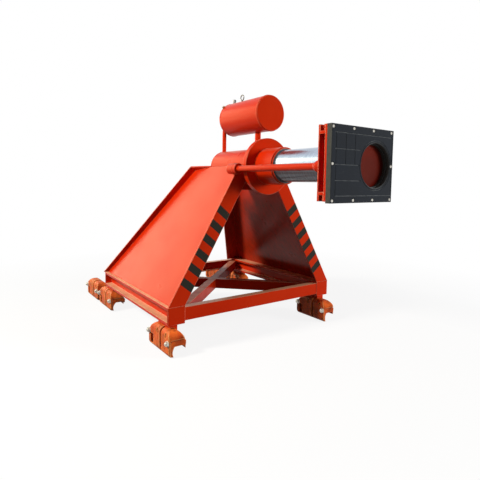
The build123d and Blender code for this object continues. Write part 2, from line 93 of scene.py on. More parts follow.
# Colours of the metals and the rubber
ZINC_COLOURS = ((0.66, 0.64, 0.58), (0.4, 0.36, 0.28))
STEEL_COLOURS = ((0.2, 0.19, 0.18), (0.09, 0.08, 0.075))
BRASS_COLOURS = ((0.42, 0.24, 0.1), (0.2, 0.12, 0.06))
# The blue cast of both chrome colours is a painted reflection of a blue sky
CHROME_BRIGHT_AND_SKY_BLUE, CHROME_SMEARED_AND_SKY_BLUE = (0.44, 0.52, 0.64), (0.35, 0.4, 0.47)
# Dark and dull on the underside of the rod: painted shade, for the dark reflection below it
CHROME_UNDER_PAINTED_SHADE = (0.055, 0.048, 0.046)
RUBBER_BLACK, RUBBER_GREY = (0.012, 0.015, 0.02), (0.022, 0.026, 0.033)
RUBBER_SIDE_DUST = (0.05, 0.05, 0.042)
GROOVE_DUST = (0.15, 0.16, 0.165)
SCUFF = (0.11, 0.12, 0.125)

# Black stripes on the legs: how they climb outward, and where and how they repeat
STRIPE_LEAN = 0.8
STRIPE_START = -0.283
STRIPE_PITCH = 0.1545
STRIPE_SHARE = 0.48
STRIPE_COUNT = 6
STRIPE_WOBBLE = 0.006
STRIPE_BLACK = (0.024, 0.025, 0.021)

ENAMEL_EDGE_RADIUS = 0.006
SAND_AND_SUNLIGHT_TOP = BEAM_TOP + 0.02
UNDERSIDE_SHADE_FADE = 0.12
GROOVE_TOP, GROOVE_FLOOR = FACE_X - 0.0012, FACE_X - 0.0026


# ---------------------------------------------------------------- node helpers
def add_node(tree, kind, links=(), **settings):
    """A node with its settings, and its inputs linked or set by name or number."""
    made = tree.nodes.new(kind)
    for name, value in settings.items():
        setattr(made, name, value)
    for socket, value in dict(links).items():
        if isinstance(value, bpy.types.NodeSocket):
            tree.links.new(value, made.inputs[socket])
        else:
            made.inputs[socket].default_value = value
    return made


def math_node(tree, operation, *values):
    return add_node(tree, "ShaderNodeMath", dict(enumerate(values)), operation=operation).outputs[0]


def vector_node(tree, operation, *values):
    return add_node(tree, "ShaderNodeVectorMath", dict(enumerate(values)), operation=operation)


def times(tree, product, *values):
    for value in values:
        product = math_node(tree, "MULTIPLY", product, value)
    return product


def part(tree, vector, axis):
    """The vector's X, Y or Z."""
    return add_node(tree, "ShaderNodeSeparateXYZ", {0: vector}).outputs[axis]


def stretched(tree, place, scale):
    return add_node(tree, "ShaderNodeMapping", {"Vector": place, "Scale": scale}).outputs[0]


def noise(tree, place, scale, detail=3.0, roughness=0.55):
    inputs = {"Vector": place, "Scale": scale, "Detail": detail, "Roughness": roughness}
    return add_node(tree, "ShaderNodeTexNoise", inputs).outputs["Fac"]


def ramp(tree, value, low, high, start=0.0, end=1.0):
    """The value's stretch from low to high, as start to end."""
    inputs = {"Value": value, "From Min": low, "From Max": high, "To Min": start, "To Max": end}
    return add_node(tree, "ShaderNodeMapRange", inputs).outputs[0]


def mix(tree, share, first, second):
    """The first colour with this share of the second over it."""
    made = add_node(tree, "ShaderNodeMix", data_type="RGBA")
    tree.links.new(share, made.inputs[0])
    for socket, colour in ((made.inputs[6], first), (made.inputs[7], second)):
        if isinstance(colour, bpy.types.NodeSocket):
            tree.links.new(colour, socket)
        else:
            socket.default_value = (*colour, 1)
    return made.outputs[2]


def bump(tree, height, distance, strength, normal=None):
    links = {"Height": height, "Distance": distance, "Strength": strength}
    if normal:
        links["Normal"] = normal
    return add_node(tree, "ShaderNodeBump", links).outputs[0]


def new_material(name, **values):
    """A material with its shader's constant values, and its object's own coordinates and normal."""
    material = bpy.data.materials.new(name)
    material.use_nodes = True
    tree = material.node_tree
    shader = tree.nodes["Principled BSDF"]
    for socket, value in values.items():
        shader.inputs[socket.replace("_", " ")].default_value = value
    coordinates = tree.nodes.new("ShaderNodeTexCoord").outputs
    return material, tree, shader, coordinates["Object"], coordinates["Normal"]


def link_shader(tree, shader, colour, roughness, normal):
    for name, socket in (("Base Color", colour), ("Roughness", roughness), ("Normal", normal)):
        tree.links.new(socket, shader.inputs[name])


# ---------------------------------------------------------------- materials
def stripe_mask(tree, place, normal):
    """1 on the black stripes across the front of the legs, except where the paint is worn."""
    side = math_node(tree, "ABSOLUTE", math_node(tree, "SUBTRACT", part(tree, place, "Y"), TRACK_Y))
    height = math_node(tree, "SUBTRACT", part(tree, place, "Z"), BEAM_BOTTOM)
    across = math_node(tree, "SUBTRACT", height, times(tree, side, STRIPE_LEAN))
    wobbly = math_node(tree, "ADD", across, times(tree, noise(tree, place, 30.0), STRIPE_WOBBLE))
    count = math_node(tree, "DIVIDE", math_node(tree, "SUBTRACT", wobbly, STRIPE_START), STRIPE_PITCH)
    return times(tree,
                 math_node(tree, "LESS_THAN", math_node(tree, "FRACT", count), STRIPE_SHARE),
                 math_node(tree, "LESS_THAN", count, float(STRIPE_COUNT)),
                 math_node(tree, "GREATER_THAN", count, 0.0),
                 math_node(tree, "GREATER_THAN", part(tree, normal, "X"), 0.7),
                 math_node(tree, "LESS_THAN", noise(tree, place, 90.0, 4.0), 0.73))


def pocket_shade_mask(tree, place, patches, pocket):
    """High inside the pocket's radius about the pocket's axis, where the plate is darkened as painted shade.
    """
    apart = vector_node(tree, "SUBTRACT", place, pocket).outputs[0]
    square_to_axis = vector_node(tree, "MULTIPLY", apart, (0, 1, 1)).outputs[0]
    reach = vector_node(tree, "LENGTH", square_to_axis).outputs["Value"]
    return times(tree, ramp(tree, reach, POCKET_RADIUS, POCKET_RADIUS - 0.004),
                 ramp(tree, patches, 0.3, 0.7, 0.78, 0.95))


# The enamel's flag for dust switches on the tan with painted sunlight, the pale edges with painted highlight
# and the full share of dust with painted sheen
def enamel(name, colour, shade, stripes=False, pocket=None, dust_and_light_marks=True, sand_and_sunlight_share=(0.4, 0.9), gloss=0.12):
    """Sprayed enamel: orange peel, faint runs, a pale dusting and sandy tan on top that are partly painted
    sheen and sunlight, painted shade beneath, painted shade in the pocket, edges worn pale with a painted
    highlight, chips.
    """
    material, tree, shader, place, normal = new_material(name, Specular_IOR_Level=gloss,
                                                         Specular_Tint=WARM_GLOSS)
    patches = noise(tree, place, 2.6, 4.0)
    base = mix(tree, ramp(tree, patches, 0.35, 0.7), colour, shade)
    runs = noise(tree, stretched(tree, place, (9.0, 9.0, 1.2)), 3.0, 5.0, 0.65)
    run_colour = tuple(0.45 * channel for channel in colour)
    base = mix(tree, ramp(tree, runs, 0.58, 0.85, 0.0, 0.08), base, run_colour)
    if stripes:
        base = mix(tree, stripe_mask(tree, place, normal), base, STRIPE_BLACK)

    up, level = part(tree, normal, "Z"), part(tree, place, "Z")
    # Paler on upward faces: partly dust, partly painted sheen of the sky on the tops
    dust_and_sheen = times(tree, ramp(tree, up, 0.75, 1.0), ramp(tree, noise(tree, place, 14.0, 6.0), 0.35, 0.75),
                 0.75 if dust_and_light_marks else 0.1)
    base = mix(tree, dust_and_sheen, base, DUST_AND_SHEEN)
    if dust_and_light_marks:
        # Tan on upward faces up to the beams' top: partly sand, partly painted sunlight
        sand_and_sunlight = times(tree, ramp(tree, up, 0.6, 0.95), ramp(tree, level, SAND_AND_SUNLIGHT_TOP, SAND_AND_SUNLIGHT_TOP - 0.01),
                     ramp(tree, noise(tree, place, 8.0, 6.0), 0.25, 0.6, *sand_and_sunlight_share))
        base = mix(tree, sand_and_sunlight, base, SAND_AND_SUNLIGHT)
    # Darker, in streaks, on downward faces below the buffer: painted shade
    underside_shade = times(tree, ramp(tree, up, -0.25, -0.4), ramp(tree, runs, 0.3, 0.7, 0.2, 0.6),
                 ramp(tree, level, BUFFER_BOTTOM, BUFFER_BOTTOM - UNDERSIDE_SHADE_FADE))
    base = mix(tree, underside_shade, base, UNDERSIDE_PAINTED_SHADE)
    # Darkened inside the pocket: painted shade in the recess
    if pocket:
        base = mix(tree, pocket_shade_mask(tree, place, patches, pocket), base, POCKET_PAINTED_SHADE)

    round_normal = add_node(tree, "ShaderNodeBevel", {"Radius": ENAMEL_EDGE_RADIUS}, samples=6).outputs[0]
    if dust_and_light_marks:
        flat_normal = tree.nodes.new("ShaderNodeNewGeometry").outputs["Normal"]
        turned = vector_node(tree, "DOT_PRODUCT", round_normal, flat_normal).outputs["Value"]
        # Paler along the edges: partly wear, partly painted highlight
        rubbed_and_highlight = times(tree, ramp(tree, turned, 0.98, 0.86),
                       ramp(tree, noise(tree, place, 22.0, 5.0), 0.3, 0.6, 0.25, 0.85))
        base = mix(tree, rubbed_and_highlight, base, RUBBED_EDGE_AND_HIGHLIGHT)
    chips = math_node(tree, "GREATER_THAN", noise(tree, place, 55.0, 6.0, 0.7), 0.87)
    base = mix(tree, chips, base, CHIP)
    roughness = ramp(tree, noise(tree, place, 5.0, 3.0), 0.3, 0.7, 0.27, 0.36)
    orange_peel = bump(tree, noise(tree, place, 260.0, 1.0), 0.0006, 0.3, round_normal)
    link_shader(tree, shader, base, roughness, orange_peel)
    return material


def cast_enamel(name):
    """Enamel on a rough casting, worn on its edges and darkened in its hollows as painted shade."""
    material, tree, shader, place, _ = new_material(name, Specular_IOR_Level=0.18)
    base = mix(tree, ramp(tree, noise(tree, place, 9.0, 4.0), 0.38, 0.66), CAST_ORANGE, CAST_SHADE)
    curve = add_node(tree, "ShaderNodeAttribute", attribute_name="edge_curve").outputs["Fac"]
    grit = noise(tree, place, 70.0, 6.0, 0.7)
    # Dark in the hollows of the casting: painted shade
    hollow_shade = ramp(tree, math_node(tree, "ADD", curve, times(tree, grit, 0.3)), 0.5, 0.34)
    base = mix(tree, hollow_shade, base, CAST_HOLLOW_PAINTED_SHADE)
    grime = noise(tree, place, 16.0, 7.0, 0.65)
    base = mix(tree, ramp(tree, grime, 0.44, 0.72, 0.0, 0.85), base, CAST_GRIME)
    edge = ramp(tree, math_node(tree, "ADD", curve, times(tree, grit, 0.25)), 0.76, 0.9, 0.0, 0.8)
    base = mix(tree, edge, base, CAST_EDGE)
    skin = math_node(tree, "ADD", noise(tree, place, 190.0, 4.0, 0.6), times(tree, grime, 1.5))
    link_shader(tree, shader, base, ramp(tree, grit, 0.3, 0.7, 0.38, 0.68), bump(tree, skin, 0.0022, 0.7))
    return material


def plated(name, colour, dull):
    """Plated or bare metal, dull in small spots."""
    material, tree, shader, place, _ = new_material(name, Metallic=0.9)
    spots = noise(tree, place, 120.0, 5.0, 0.65)
    link_shader(tree, shader, mix(tree, ramp(tree, spots, 0.45, 0.75), colour, dull),
                ramp(tree, spots, 0.35, 0.7, 0.28, 0.55), bump(tree, spots, 0.0004, 0.4))
    return material


def hard_chrome(name):
    """Ground and plated: bright, with faint marks round the rod, and darker and duller underneath as painted
    shade.
    """
    material, tree, shader, place, normal = new_material(name, Metallic=1.0)
    rings = noise(tree, stretched(tree, place, (260.0, 4.0, 4.0)), 1.0, 2.0)
    smears = noise(tree, stretched(tree, place, (2.0, 9.0, 9.0)), 1.5, 4.0)
    # Both tints carry a painted blue reflection of the sky
    tint = mix(tree, ramp(tree, smears, 0.45, 0.75, 0.0, 0.45), CHROME_BRIGHT_AND_SKY_BLUE, CHROME_SMEARED_AND_SKY_BLUE)
    up = part(tree, normal, "Z")
    # Darker and less metallic on downward faces: painted shade
    tint = mix(tree, ramp(tree, up, 0.0, -0.35, 0.0, 0.85), tint, CHROME_UNDER_PAINTED_SHADE)
    tree.links.new(ramp(tree, up, 0.05, -0.3, 1.0, 0.5), shader.inputs["Metallic"])
    link_shader(tree, shader, tint, ramp(tree, rings, 0.3, 0.7, 0.2, 0.3), bump(tree, rings, 0.0001, 0.12))
    return material


def moulded_rubber(name):
    """Blue black rubber, dusted on its sides and in the grooves between its tiles, and scuffed."""
    material, tree, shader, place, normal = new_material(name, Specular_IOR_Level=0.16)
    cloud = noise(tree, place, 7.0, 5.0)
    base = mix(tree, ramp(tree, cloud, 0.35, 0.7), RUBBER_BLACK, RUBBER_GREY)
    facing = part(tree, normal, "X")
    side = times(tree, ramp(tree, math_node(tree, "ABSOLUTE", facing), 0.85, 0.5),
                 ramp(tree, noise(tree, place, 40.0, 6.0), 0.25, 0.6, 0.45, 1.0))
    base = mix(tree, side, base, RUBBER_SIDE_DUST)
    groove = times(tree, ramp(tree, part(tree, place, "X"), GROOVE_TOP, GROOVE_FLOOR),
                   ramp(tree, facing, 0.3, 0.8),
                   ramp(tree, noise(tree, place, 25.0, 5.0), 0.3, 0.6, 0.4, 1.0))
    base = mix(tree, groove, base, GROOVE_DUST)
    scuffs = noise(tree, stretched(tree, place, (1, 8, 40)), 1.2, 6.0, 0.7)
    base = mix(tree, ramp(tree, scuffs, 0.62, 0.8, 0.0, 0.35), base, SCUFF)
    link_shader(tree, shader, base, ramp(tree, cloud, 0.3, 0.7, 0.45, 0.65),
                bump(tree, noise(tree, place, 320.0, 3.0), 0.0006, 0.35))
    return material


PAINT = enamel("red_enamel", RED, RED_SHADE)
PLATE_PAINT_POCKET_SHADE = enamel("plate_enamel_pocket_shade", RED, RED_SHADE, pocket=POCKET_MIDDLE)
STRIPED_PAINT = enamel("striped_enamel", RED, RED_SHADE, stripes=True)
# The braces' darker red with little tan on top: painted shade, for the frame's shadow over them
BRACE_PAINTED_SHADE = enamel("brace_enamel_painted_shade", SHADE_DARKENED_BRACE_RED, SHADE_DARKENED_BRACE_TONE, sand_and_sunlight_share=(0.05, 0.35), gloss=0.03)
# Weld beads in a paler red: painted highlight along the seams
WELD_HIGHLIGHT_PAINT = enamel("weld_enamel_painted_highlight", WELD_HIGHLIGHT_RED, WELD_HIGHLIGHT_TONE, dust_and_light_marks=False)
CAST = cast_enamel("cast_enamel")
ZINC = plated("zinc_plate", *ZINC_COLOURS)
DARK_STEEL = plated("dark_steel", *STEEL_COLOURS)
BRASS = plated("brass", *BRASS_COLOURS)
CHROME = hard_chrome("hard_chrome")
RUBBER = moulded_rubber("moulded_rubber")

# Finishes of the solids that show as they are. All others have the red paint.
NODE_FINISHES = {"plunger": CHROME, "tank_valve": BRASS, "head_front_plate": PLATE_PAINT_POCKET_SHADE,
                 "front_flange_right": STRIPED_PAINT, "front_flange_left": STRIPED_PAINT,
                 "brace_through": BRACE_PAINTED_SHADE, "brace_halves": BRACE_PAINTED_SHADE}


# ---------------------------------------------------------------- mesh helpers
def link(name, mesh, material, body, slot, *replaced):
    """Makes a finished piece of a mesh: one material, one body, and the solids that it stands for."""
    piece = bpy.data.objects.new(name, mesh)
    bpy.context.collection.objects.link(piece)
    mesh.materials.clear()
    mesh.materials.append(material)
    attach(piece, body)
    if replaced:
        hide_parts(*replaced)


def node_mesh(node):
    """A copy of a solid's mesh with its loose triangles joined."""
    mesh = nodes[node].data.copy()
    work = bmesh.new()
    work.from_mesh(mesh)
    bmesh.ops.remove_doubles(work, verts=work.verts, dist=1e-5)
    work.to_mesh(mesh)
    work.free()
    return mesh


def applied(mesh, *modifiers):
    """The mesh as it is after these modifiers, each a kind and its settings."""
    holder = bpy.data.objects.new("holder", mesh)
    bpy.context.collection.objects.link(holder)
    for kind, settings in modifiers:
        modifier = holder.modifiers.new(kind, kind)
        for name, value in settings.items():
            setattr(modifier, name, value)
    graph = bpy.context.evaluated_depsgraph_get()
    result = bpy.data.meshes.new_from_object(holder.evaluated_get(graph))
    bpy.data.objects.remove(holder)
    return result


def circle(middle, radius, sides, across=X, up=Y):
    """Points round a circle, from the direction across towards the direction up."""
    turns = [i * math.tau / sides for i in range(sides)]
    return [middle + (across * math.cos(turn) + up * math.sin(turn)) * radius for turn in turns]


def shell(loops, capped):
    """Faces from each loop of points to the next, with capped ends or from the last loop on to the first."""
    work = bmesh.new()
    rings = [[work.verts.new(point) for point in loop] for loop in loops]
    for here, after in zip(rings, rings[1:] if capped else rings[1:] + rings[:1]):
        for i in range(len(here)):
            j = (i + 1) % len(here)
            work.faces.new((here[i], here[j], after[j], after[i]))
    if capped:
        work.faces.new(reversed(rings[0]))
        work.faces.new(rings[-1])
    bmesh.ops.recalc_face_normals(work, faces=work.faces)
    return work


def lathe(profile, sides, place=Vector(), axis_turn=Matrix.Identity(4)):
    """A closed round mesh from (distance along the axis, radius) points, whose axis starts as Z."""
    work = shell([circle(Z * distance, radius, sides) for distance, radius in profile], capped=True)
    bmesh.ops.transform(work, matrix=Matrix.Translation(place) @ axis_turn, verts=work.verts)
    return work


HOOP_SIDES = 96


def hoop(middle, section):
    """A closed ring about an axis along X, from the (distance along X, radius) points of its section."""
    loops = [circle(middle + X * distance, radius, HOOP_SIDES, Y, Z) for distance, radius in section]
    return shell(loops, capped=False)


def block(low, high):
    work = bmesh.new()
    bmesh.ops.create_cube(work, size=1)
    low, high = Vector(low), Vector(high)
    matrix = Matrix.Translation((low + high) / 2) @ Matrix.Diagonal((*(high - low), 1))
    bmesh.ops.transform(work, matrix=matrix, verts=work.verts)
    return work


def joined(works, smooth_degrees=35):
    """One mesh from several pieces, smooth except over edges sharper than the angle."""
    mesh = bpy.data.meshes.new("joined")
    total = bmesh.new()
    for work in works:
        piece = bpy.data.meshes.new("piece")
        work.to_mesh(piece)
        work.free()
        total.from_mesh(piece)
        bpy.data.meshes.remove(piece)
    for face in total.faces:
        face.smooth = True
    for edge in total.edges:
        edge.smooth = len(edge.link_faces) == 2 and edge.calc_face_angle(0) < math.radians(smooth_degrees)
    total.to_mesh(mesh)
    total.free()
    return mesh


def measures(node):
    """A solid's low and high corners, its middle and half its height, which is a round one's radius."""
    low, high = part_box(node)
    return low, high, (low + high) / 2, (high.z - low.z) / 2


COPY_SEED = 7


def copying_tree(name, material):
    """A node tree that puts a sample at every point, and the identifiers of its inputs."""
    tree = bpy.data.node_groups.new(name, "GeometryNodeTree")
    inputs = {}
    for label, kind in (("Points", "Geometry"), ("Sample", "Object"), ("Size", "Float"),
                        ("Size spread", "Float"), ("Seed", "Int")):
        socket = tree.interface.new_socket(label, in_out="INPUT", socket_type=f"NodeSocket{kind}")
        inputs[label] = socket.identifier
    tree.interface.new_socket("Geometry", in_out="OUTPUT", socket_type="NodeSocketGeometry")
    given, end = tree.nodes.new("NodeGroupInput").outputs, tree.nodes.new("NodeGroupOutput")
    source = add_node(tree, "GeometryNodeObjectInfo", {"Object": given["Sample"]})
    smallest, largest = (math_node(tree, operation, given["Size"], given["Size spread"])
                         for operation in ("SUBTRACT", "ADD"))
    size = add_node(tree, "FunctionNodeRandomValue", {2: smallest, 3: largest, "Seed": given["Seed"]},
                    data_type="FLOAT")
    turn = add_node(tree, "GeometryNodeInputNamedAttribute", {"Name": "turn"}, data_type="FLOAT_VECTOR")
    copies = add_node(tree, "GeometryNodeInstanceOnPoints",
                      {"Points": given["Points"], "Instance": source.outputs["Geometry"],
                       "Rotation": turn.outputs[0], "Scale": size.outputs[1]})
    real = add_node(tree, "GeometryNodeRealizeInstances", {"Geometry": copies.outputs[0]})
    painted = add_node(tree, "GeometryNodeSetMaterial", {"Geometry": real.outputs[0], "Material": material})
    tree.links.new(painted.outputs[0], end.inputs[0])
    return tree, inputs


def placed_copies(name, points, sample, material, spread=0.0):
    """A plain mesh with the sample at every point, each point a place and a turn."""
    tree, inputs = copying_tree(name, material)
    cloud = bpy.data.meshes.new(name + "_points")
    cloud.from_pydata([place for place, turn in points], [], [])
    turns = cloud.attributes.new("turn", "FLOAT_VECTOR", "POINT")
    turns.data.foreach_set("vector", [angle for place, turn in points for angle in turn])
    source = bpy.data.objects.new(name + "_sample", sample)
    holder = bpy.data.objects.new(name + "_holder", cloud)
    for thing in (source, holder):
        bpy.context.collection.objects.link(thing)
    modifier = holder.modifiers.new("copies", "NODES")
    modifier.node_group = tree
    for label, value in (("Sample", source), ("Size", 1.0), ("Size spread", spread), ("Seed", COPY_SEED)):
        modifier[inputs[label]] = value
    graph = bpy.context.evaluated_depsgraph_get()
    result = bpy.data.meshes.new_from_object(holder.evaluated_get(graph))
    for thing in (source, holder):
        bpy.data.objects.remove(thing)
    return result


# ---------------------------------------------------------------- rubber face
# Grooves between the tiles, from the middle of the face: rows are a height and two ends along Y,
# columns are a place along Y and two ends along Z
TILE_ROWS = ((0.184, -0.262, 0.274), (0.089, -0.262, -0.03), (-0.003, -0.26, -0.045), (-0.097, -0.256, -0.03),
             (-0.188, -0.25, 0.285))
TILE_COLUMNS = ((-0.252, -0.188, 0.184), (-0.168, -0.003, 0.184), (-0.085, -0.003, 0.184),
                (0.278, -0.188, 0.184))
ROW_HALF, ROW_DEPTH = 0.0022, 0.0032
COLUMN_HALF, COLUMN_DEPTH = 0.0018, 0.003
FACE_BOLTS = ((-0.277, 0.214), (-0.096, 0.215), (0.088, 0.215), (0.27, 0.215), (-0.277, 0.0), (0.277, 0.0),
              (-0.272, -0.216), (-0.086, -0.215), (0.098, -0.216), (0.276, -0.215))
WELL_RADIUS, WELL_DEPTH = 0.0125, 0.006
BOLT_SINK = 0.0006
CUT_CLEAR = 0.01
TO_PLUS_X = Matrix.Rotation(math.radians(90), 4, "Y")

# Sections as distances along X and radii, and the bolt head's profile
POCKET_RIM = ((-0.008, POCKET_RADIUS - 0.004), (-0.0045, POCKET_RADIUS + 0.0012),
              (0.0005, POCKET_RADIUS + 0.006), (CUT_CLEAR, POCKET_RADIUS + 0.006))
RIM_GROOVE = ((-0.003, POCKET_RADIUS + 0.0125), (-0.003, POCKET_RADIUS + 0.0165),
              (0.006, POCKET_RADIUS + 0.0165), (0.006, POCKET_RADIUS + 0.0125))
POCKET_LINER = ((-0.0108, POCKET_RADIUS - 0.0042), (0.002, POCKET_RADIUS - 0.0042),
                (0.006, POCKET_RADIUS - 0.0005), (0.0065, POCKET_RADIUS - 0.006),
                (-0.0108, POCKET_RADIUS - 0.008))
BOLT_HEAD = ((-0.005, 0.0094), (-0.0022, 0.0094), (-0.0008, 0.0082), (-0.0003, 0.0055), (-0.0003, 0.0001))


def rubber_face():
    """The rubber with its tile grooves, the rounded rim of the pocket and the wells of the bolts cut in."""
    _, high, middle, _ = measures("rubber_face")
    face = Vector((high.x, middle.y, middle.z))
    cuts = []
    for level, left, right in TILE_ROWS:
        cuts.append(block(face + Vector((-ROW_DEPTH, left, level - ROW_HALF)),
                          face + Vector((CUT_CLEAR, right, level + ROW_HALF))))
    for side, bottom, top in TILE_COLUMNS:
        cuts.append(block(face + Vector((-COLUMN_DEPTH, side - COLUMN_HALF, bottom)),
                          face + Vector((CUT_CLEAR, side + COLUMN_HALF, top))))
    for side, level in FACE_BOLTS:
        cuts.append(lathe(((-WELL_DEPTH, WELL_RADIUS), (CUT_CLEAR, WELL_RADIUS)), 28,
                          face + Vector((0, side, level)), TO_PLUS_X))
    pocket = Vector((high.x, POCKET_MIDDLE.y, POCKET_MIDDLE.z))
    cuts.append(lathe(POCKET_RIM, HOOP_SIDES, pocket, TO_PLUS_X))
    cuts.append(hoop(pocket, RIM_GROOVE))
    cutter = bpy.data.objects.new("cutter", joined(cuts))
    bpy.context.collection.objects.link(cutter)
    settings = {"operation": "DIFFERENCE", "object": cutter, "solver": "EXACT", "use_self": True}
    mesh = applied(node_mesh("rubber_face"), ("BOOLEAN", settings))
    bpy.data.objects.remove(cutter)
    link("rubber_pad", mesh, RUBBER, "head", "rubber", "rubber_face")

    plate_face = Vector((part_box("head_front_plate")[1].x, pocket.y, pocket.z))
    link("pocket_liner", joined([hoop(plate_face, POCKET_LINER)], 40), RUBBER, "head", "rubber")

    bolt_face = face - BOLT_SINK * X
    places = [(bolt_face + Vector((0, side, level)), (0.0, math.pi / 2, 0.0)) for side, level in FACE_BOLTS]
    bolts = placed_copies("pad_bolts", places, joined([lathe(BOLT_HEAD, 20)]), ZINC)
    link("pad_bolts", bolts, ZINC, "head", "bolt_steel")


# ---------------------------------------------------------------- nuts on the clamps
# Each clamp's two nuts: how far behind its front end, how high, and how far turned on the bolt
CLAMP_NUTS = ((0.016, 0.109, 0.3), (0.334, 0.118, 0.9))
CLAMP_RIB = 0.004
NUT_RADIUS = 0.02
NUT_LEVELS = ((0.003, 0.0), (0.0125, 0.0), (0.015, 0.0022))
CORNER_INSET = 1.15
WASHER = ((0, 0.0215), (0.0026, 0.0215), (0.0031, 0.0208))
THREAD_TURNS, THREAD_PITCH = 5, 0.0014


def nut_sample():
    """A chamfered hexagon nut on a washer, with the threaded end of its bolt, along Z from the casting."""
    corners = circle(Vector(), NUT_RADIUS, 6)
    loops = []
    for level, inset in NUT_LEVELS:
        loop = []
        for here, after in zip(corners, corners[1:] + corners[:1]):
            for share in (0.0, 0.25, 0.5, 0.75):
                point = here.lerp(after, share)
                limit = NUT_RADIUS - inset * (1.0 if share else CORNER_INSET)
                if point.length > limit:
                    point = point.normalized() * limit
                loop.append(point + Z * level)
        loops.append(loop)
    thread = [(0.01, 0.0098)]
    for turn in range(THREAD_TURNS):
        thread += [(0.0152 + turn * THREAD_PITCH, 0.0098), (0.0159 + turn * THREAD_PITCH, 0.0108)]
    thread += [(0.0225, 0.0096), (0.023, 0.0085)]
    return joined([shell(loops, capped=True), lathe(WASHER, 32), lathe(thread, 20)], 30)


def clamp_nuts():
    places = []
    for name in sorted(nodes):
        if not name.startswith("rail_clamp"):
            continue
        low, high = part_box(name)
        for back, level, turned in CLAMP_NUTS:
            places.append((Vector((high.x - back, low.y + CLAMP_RIB, level)), (math.pi / 2, turned, 0.0)))
    mesh = placed_copies("clamp_nuts", places, nut_sample(), ZINC)
    link("clamp_nuts", mesh, ZINC, "frame", "bolt_steel", "clamp_bolts")


# ---------------------------------------------------------------- castings
MESH_SIZE = 0.0036
FULL_CURVE = 0.0009
CURVE_ROUNDS = 2


def soft_casting(node):
    """The casting with its edges rounded as in sandcasting, and each point's curve kept for its paint."""
    mesh = applied(node_mesh(node), ("REMESH", {"mode": "VOXEL", "voxel_size": MESH_SIZE}),
                   ("SMOOTH", {"factor": 0.5, "iterations": 3}))
    work = bmesh.new()
    work.from_mesh(mesh)
    work.normal_update()
    neighbours = [[edge.other_vert(vert) for edge in vert.link_edges] for vert in work.verts]
    curves = []
    for vert, near in zip(work.verts, neighbours):
        average = sum((other.co for other in near), Vector()) / max(1, len(near))
        curves.append(0.5 + (vert.co - average).dot(vert.normal) / FULL_CURVE)
    for _ in range(CURVE_ROUNDS):
        curves = [(curve + sum(curves[other.index] for other in near)) / (1 + len(near))
                  for curve, near in zip(curves, neighbours)]
    low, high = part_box(node)
    for vert in work.verts:
        vert.co = [min(max(place, lowest), highest) for place, lowest, highest in zip(vert.co, low, high)]
    for face in work.faces:
        face.smooth = True
    work.to_mesh(mesh)
    work.free()
    kept = mesh.attributes.new("edge_curve", "FLOAT", "POINT")
    kept.data.foreach_set("value", [min(max(curve, 0.0), 1.0) for curve in curves])
    return mesh


def castings():
    for name in sorted(nodes):
        if name.startswith("rail_clamp"):
            link(name.replace("rail_clamp", "cast_clamp"), soft_casting(name), CAST, "frame", "clamp_orange",
                 name)


# ---------------------------------------------------------------- weld beads
BEAD_RADIUS = 0.0042
BEAD_PITCH = 0.9 * BEAD_RADIUS
BEAD_SHAPE = (0.8, 1.0, 0.75)
BEAD_SPREAD = 0.2
END_PLATE, PANEL_CORNER = 0.012, 0.02
BEAD_SINK = 0.001


def straight_weld(start, end):
    """Places and turns of the ripples of a weld from start to end."""
    start, end = Vector(start), Vector(end)
    count = max(2, int((end - start).length / BEAD_PITCH))
    turn = tuple((end - start).to_track_quat("X", "Z").to_euler())
    return [(start.lerp(end, i / count), turn) for i in range(count + 1)]


def round_weld(x, middle, radius):
    """The same round a circle about an axis along X."""
    count = max(3, int(math.tau * radius / BEAD_PITCH))
    centre = Vector((x, middle.y, middle.z))
    ripples = []
    for i in range(count + 1):
        angle = math.tau * i / count
        ripples.append((centre + (Y * math.sin(angle) + Z * math.cos(angle)) * radius,
                        (angle + math.pi / 2, 0.0, 0.0)))
    return ripples


def weld_lines():
    ripples = []
    cross_low, cross_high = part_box("front_cross_beam")
    for side in ("right", "left"):
        low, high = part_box(f"side_beam_{side}")
        outer, inner = (low.y, high.y) if side == "right" else (high.y, low.y)
        seam_x = high.x - END_PLATE
        ripples += straight_weld((FRONT_X, outer, BEAM_TOP), (FRONT_X, inner, BEAM_TOP))
        ripples += straight_weld((seam_x, outer, BEAM_TOP - BEAD_SINK), (seam_x, outer, low.z + BEAD_SINK))
        ripples += straight_weld((cross_high.x, inner, cross_low.z), (cross_high.x, inner, cross_high.z))
        ripples += straight_weld((cross_high.x - BEAD_SINK, inner, cross_high.z),
                                 (cross_low.x, inner, cross_high.z))
        panel_low, panel_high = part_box(f"side_panel_{side}")
        foot = panel_low.y if side == "right" else panel_high.y
        ripples += straight_weld((panel_low.x + PANEL_CORNER, foot, BEAM_TOP), (panel_high.x, foot, BEAM_TOP))
        _, _, sleeve, sleeve_radius = measures(f"guide_sleeve_{side}")
        ripples += round_weld(FRONT_X, sleeve, sleeve_radius)
    disc_low, disc_high, axis, _ = measures("mounting_disc")
    ripples += round_weld(disc_low.x, axis, measures("barrel")[3])
    ripples += round_weld(disc_high.x, axis, measures("gland_collar")[3])
    tank_low, tank_high, tank, tank_radius = measures("tank_shell")
    for x in (tank_low.x, tank_high.x):
        ripples += round_weld(x, tank, tank_radius - BEAD_SINK)
    _, cap_high, _, cap_radius = measures("barrel_cap")
    return ripples + round_weld(cap_high.x, axis, cap_radius - BEAD_SINK)


def weld_beads():
    bead = bmesh.new()
    bmesh.ops.create_icosphere(bead, subdivisions=1, radius=BEAD_RADIUS)
    bmesh.ops.scale(bead, vec=BEAD_SHAPE, verts=bead.verts)
    mesh = placed_copies("weld_beads", weld_lines(), joined([bead], 80), WELD_HIGHLIGHT_PAINT, BEAD_SPREAD)
    link("weld_beads", mesh, WELD_HIGHLIGHT_PAINT, "frame", "red_paint")


